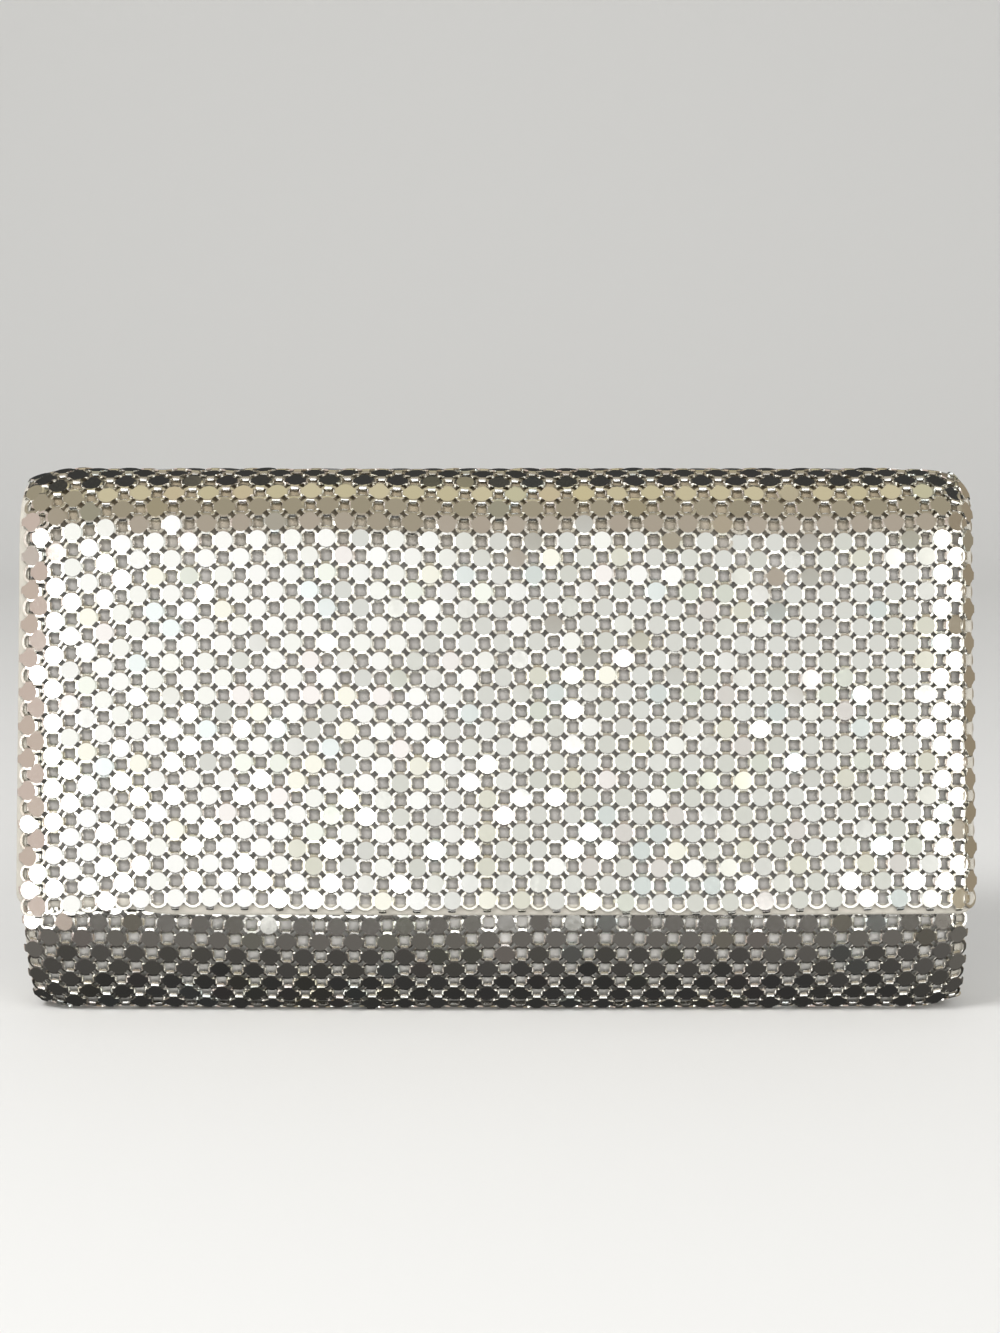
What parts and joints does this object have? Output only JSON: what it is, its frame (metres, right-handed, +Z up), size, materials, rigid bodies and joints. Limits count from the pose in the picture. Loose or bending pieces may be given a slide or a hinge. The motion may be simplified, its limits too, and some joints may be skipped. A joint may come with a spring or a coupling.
{
  "type": "metal mesh purse",
  "caption": "Upright evening purse: a hollow cloth pouch and a long fold-over flap, both skinned in polished metal mesh of small round plates, with a hidden snap.",
  "frame": {"origin": "on the ground under the middle of the purse's box, as it stands on its base", "axes": "+X runs along the purse's width, -Y is the front that the flap covers, +Z is up"},
  "size_m": [0.2, 0.0428, 0.115],
  "materials": {
    "mesh": "polished silver-tone plates and rings",
    "cloth": "grey satin-weave cloth over a stiffener",
    "edging": "pale metallic woven edging",
    "snap": "nickel-plated snap"
  },
  "bodies": {
    "root": {"pouch_cloth": "cloth", "pouch_mesh": "mesh", "pouch_edging_left": "edging", "pouch_edging_right": "edging", "gusset_left": "cloth", "gusset_right": "cloth", "flap_cloth": "cloth", "flap_mesh": "mesh", "flap_edging": "edging", "snap_clasp": "snap"}
  },
  "joints": []
}
